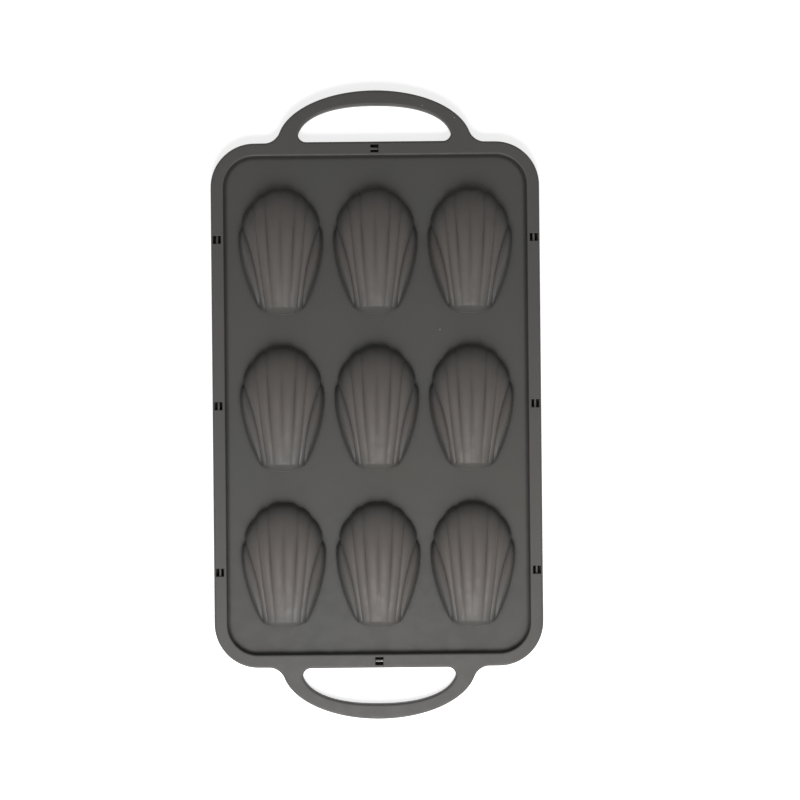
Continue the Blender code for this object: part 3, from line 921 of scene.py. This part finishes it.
def wire_steel(name):
    """Steel wire, painted far darker than bare steel as painted shade for the wire deep in its windows:
    fine bumps and a few dull patches.
    """
    nodes = Nodes(name)
    patches = nodes.spread(nodes.noise(6 * MM, 4.0), 0.35, 0.7, 0.0, 1.0)
    nodes.link(nodes.mix(patches, SHADED_STEEL_TONE, SHADED_DULL_STEEL_TONE), nodes.shader.inputs["Base Color"])
    nodes.link(nodes.spread(patches, 0.0, 1.0, 0.26, 0.45), nodes.shader.inputs["Roughness"])
    nodes.link(nodes.bump(nodes.noise(0.3 * MM, 2.0), 0.01 * MM, 0.5), nodes.shader.inputs["Normal"])
    nodes.shader.inputs["Metallic"].default_value = 1.0
    return nodes.material


# Studio


def seen_directly(tree):
    """1 for rays from the camera, and for those that glossy and clear surfaces send on."""
    rays = tree.nodes.new("ShaderNodeLightPath")
    total = rays.outputs["Is Camera Ray"]
    for name in ("Is Glossy Ray", "Is Transmission Ray"):
        largest = tree.nodes.new("ShaderNodeMath")
        largest.operation = "MAXIMUM"
        tree.links.new(total, largest.inputs[0])
        tree.links.new(rays.outputs[name], largest.inputs[1])
        total = largest.outputs[0]
    return total


def scaled(tree, value, low, high):
    """Low where the value is 0 and high where it is 1."""
    node = tree.nodes.new("ShaderNodeMapRange")
    node.inputs["To Min"].default_value = low
    node.inputs["To Max"].default_value = high
    tree.links.new(value, node.inputs["Value"])
    return node.outputs["Result"]


def make_floor():
    shape = bmesh.new()
    bmesh.ops.create_grid(shape, x_segments=1, y_segments=1, size=FLOOR_HALF_SIDE)
    bmesh.ops.translate(shape, verts=shape.verts, vec=(0, 0, -FLOOR_GAP))
    mesh = bpy.data.meshes.new("floor")
    shape.to_mesh(mesh)
    shape.free()
    floor = new_object("floor", mesh)
    material = bpy.data.materials.new("pale_floor")
    material.use_nodes = True
    tree = material.node_tree
    shader = tree.nodes["Principled BSDF"]
    shader.inputs["Base Color"].default_value = FLOOR_TONE
    shader.inputs["Roughness"].default_value = 0.9
    shader.inputs["Specular IOR Level"].default_value = 0.0
    shader.inputs["Emission Color"].default_value = (1, 1, 1, 1)
    lift = scaled(tree, seen_directly(tree), 0.0, FLOOR_LIFT)
    tree.links.new(lift, shader.inputs["Emission Strength"])
    floor.data.materials.append(material)


def make_world():
    world = bpy.data.worlds.new("studio")
    bpy.context.scene.world = world
    world.use_nodes = True
    tree = world.node_tree
    background = tree.nodes["Background"]
    background.inputs["Color"].default_value = (1, 1, 1, 1)
    tree.links.new(scaled(tree, seen_directly(tree), AMBIENT, 1.0), background.inputs["Strength"])


def make_lamp(name, place, side, power):
    """A square lamp of this side in metres and power in watts, aimed at the middle of the mold."""
    lamp = bpy.data.lights.new(name, "AREA")
    lamp.shape = "SQUARE"
    lamp.size = side
    lamp.energy = power
    obj = bpy.data.objects.new(name, lamp)
    bpy.context.scene.collection.objects.link(obj)
    obj.location = place
    obj.rotation_euler = (-Vector(place)).to_track_quat("-Z", "Y").to_euler()


def make_camera():
    """Straight above the mold, as the photograph was taken."""
    camera = bpy.data.cameras.new("camera")
    camera.sensor_width = SENSOR_WIDTH
    camera.lens = SENSOR_WIDTH * CAMERA_DISTANCE / FRAME_SIDE
    camera.shift_x = (PICTURE_SIDE / 2 - MOLD_PIXEL_X) / PICTURE_SIDE
    camera.shift_y = (MOLD_PIXEL_Y - PICTURE_SIDE / 2) / PICTURE_SIDE
    camera.clip_end = CAMERA_REACH
    obj = bpy.data.objects.new("camera", camera)
    bpy.context.scene.collection.objects.link(obj)
    roll = Matrix.Rotation(CAMERA_ROLL, 4, "Z")
    obj.matrix_world = Matrix.Translation((0, 0, CAMERA_DISTANCE)) @ roll
    bpy.context.scene.camera = obj


def set_studio():
    make_floor()
    make_world()
    make_lamp("key", KEY_PLACE, KEY_SIDE, KEY_POWER)
    make_lamp("softbox", SOFTBOX_PLACE, SOFTBOX_SIDE, SOFTBOX_POWER)
    bpy.context.scene.view_settings.view_transform = "Standard"
    make_camera()


def dress(piece, node, material):
    soften(piece.data)
    piece.data.materials.clear()
    piece.data.materials.append(material)
    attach(piece, "root")
    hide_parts(node)


def main():
    tray_finish = silicone("tray_silicone_finish", **TRAY_TONES)
    rim_finish = silicone("rim_silicone_finish", **RIM_LIT_TONES)
    steel = wire_steel("wire_steel_finish")
    dress(make_tray(), "cup_tray", tray_finish)
    dress(make_rim(), "rim_with_grips", rim_finish)
    for node, wire in make_wires().items():
        dress(wire, node, steel)
    set_studio()


main()
